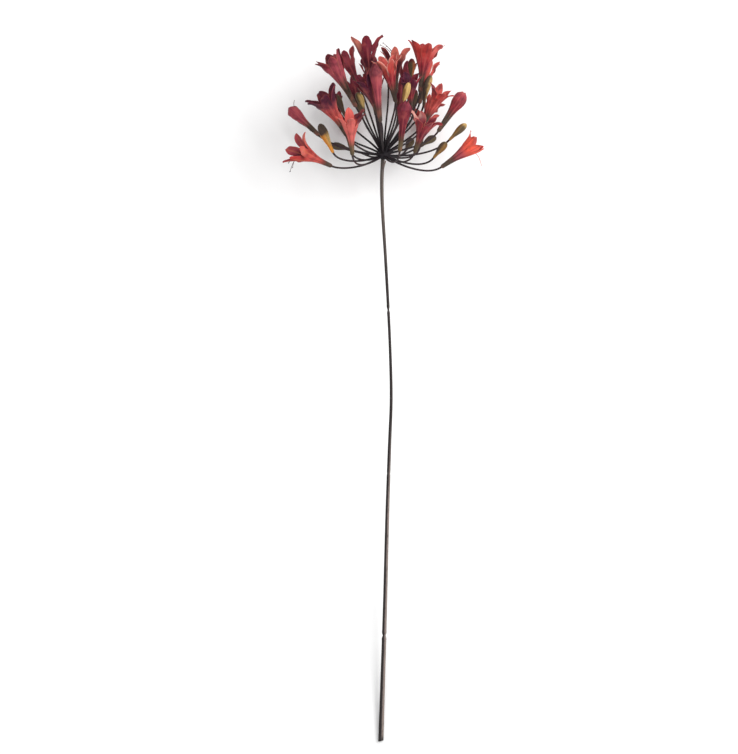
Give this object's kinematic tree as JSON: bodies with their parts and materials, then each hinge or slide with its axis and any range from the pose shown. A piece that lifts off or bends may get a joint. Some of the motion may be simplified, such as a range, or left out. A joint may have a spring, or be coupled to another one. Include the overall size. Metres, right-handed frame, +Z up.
{
  "type": "agapanthus flower head",
  "caption": "Cut agapanthus flower head: an open dome of trumpet florets and club-shaped buds on thin pedicels, at the top of a long bare scape, lying on its side.",
  "frame": {"origin": "middle of the footprint, on the surface that the cut flower lies on", "axes": "+Y from the cut end along the scape to the flower head, +Z up from the surface, +X to the right for someone who looks down on it with the head away from them"},
  "size_m": [0.2272, 0.79, 0.1823],
  "materials": {
    "coral": "matte",
    "red": "matte",
    "wine": "matte",
    "rose": "matte",
    "burgundy": "matte",
    "ochre": "matte",
    "olive": "matte",
    "pedicel": "matte",
    "scape": "matte"
  },
  "bodies": {
    "root": {"scape": "scape", "pedicels": "pedicel", "floret_01": "coral", "floret_02": "red", "floret_03": "rose", "floret_04": "burgundy", "floret_05": "coral", "floret_06": "wine", "floret_07": "wine", "floret_08": "wine", "floret_09": "rose", "floret_10": "rose", "floret_11": "coral", "floret_12": "red", "floret_13": "red", "floret_14": "coral", "floret_15": "burgundy", "floret_16": "coral", "floret_17": "wine", "floret_18": "burgundy", "floret_19": "rose", "floret_20": "rose", "floret_21": "wine", "floret_22": "wine", "floret_23": "burgundy", "floret_24": "coral", "floret_25": "burgundy", "floret_26": "wine", "floret_27": "wine", "floret_28": "burgundy", "bud_01": "ochre", "bud_02": "olive", "bud_03": "olive", "bud_04": "olive", "bud_05": "ochre", "bud_06": "olive", "bud_07": "olive", "bud_08": "olive", "bud_09": "olive", "bud_10": "ochre", "bud_11": "olive", "bud_12": "olive", "bud_13": "olive", "bud_14": "olive", "bud_15": "olive"}
  },
  "joints": []
}
